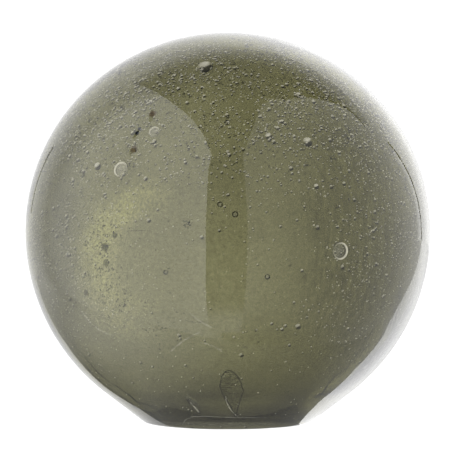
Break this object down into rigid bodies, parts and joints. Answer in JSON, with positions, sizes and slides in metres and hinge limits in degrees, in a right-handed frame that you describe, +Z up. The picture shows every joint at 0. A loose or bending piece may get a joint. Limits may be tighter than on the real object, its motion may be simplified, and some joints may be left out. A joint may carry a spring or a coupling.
{
  "type": "glass ball",
  "caption": "Decorative sealed ball of smoky green glass full of small air bubbles, standing by its own weight on a flat base, as a table or shelf ornament.",
  "frame": {"origin": "centre of the flat base, on the surface that the ball stands on", "axes": "+Z up along the ball's axis of revolution; the pictured side faces -Y"},
  "size_m": [0.15, 0.15, 0.1443],
  "materials": {
    "smoky_green_glass": "clear polished glass, smoky green, with seed bubbles"
  },
  "bodies": {
    "root": {"glass_ball": "smoky_green_glass"}
  },
  "joints": []
}
